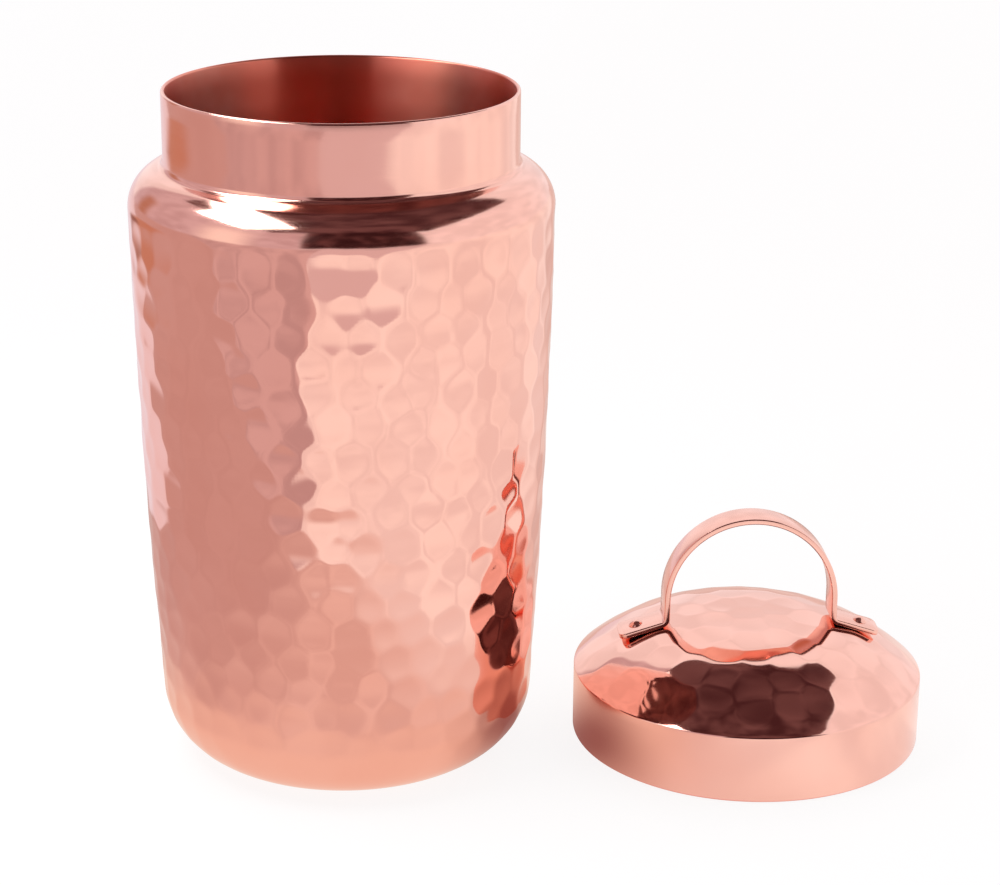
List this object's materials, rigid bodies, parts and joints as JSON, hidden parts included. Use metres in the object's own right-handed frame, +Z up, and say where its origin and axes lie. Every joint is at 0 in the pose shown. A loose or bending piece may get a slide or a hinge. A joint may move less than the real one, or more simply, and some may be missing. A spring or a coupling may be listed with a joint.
{
  "type": "tea caddy",
  "caption": "Round hammered copper tea caddy with a smooth straight neck, and a domed lift-off lid with a riveted strap loop.",
  "frame": {"origin": "centre of the canister's flat base, on the table", "axes": "+Z up along the canister's axis, +X towards the lid lying beside the canister, which is also the plane of the lid's loop"},
  "size_m": [0.1935, 0.1, 0.164],
  "materials": {
    "canister_copper": "copper, hammered and polished outside, smooth brushed neck, satin inside",
    "lid_copper": "copper, hammered and polished dome, brushed skirt",
    "handle_copper": "copper strap, polished",
    "rivet_copper": "copper, round heads",
    "burr_copper": "copper, plain"
  },
  "bodies": {
    "canister": {"canister": "canister_copper"},
    "lid": {"lid": "lid_copper", "handle": "handle_copper", "rivet_left": "rivet_copper", "rivet_right": "rivet_copper", "burr_left": "burr_copper", "burr_right": "burr_copper"}
  },
  "joints": [
    {"name": "lid_lift", "type": "slide", "parent": "canister", "child": "lid", "axis": [0, 0, 1], "range_m": [0, 0.11]}
  ]
}
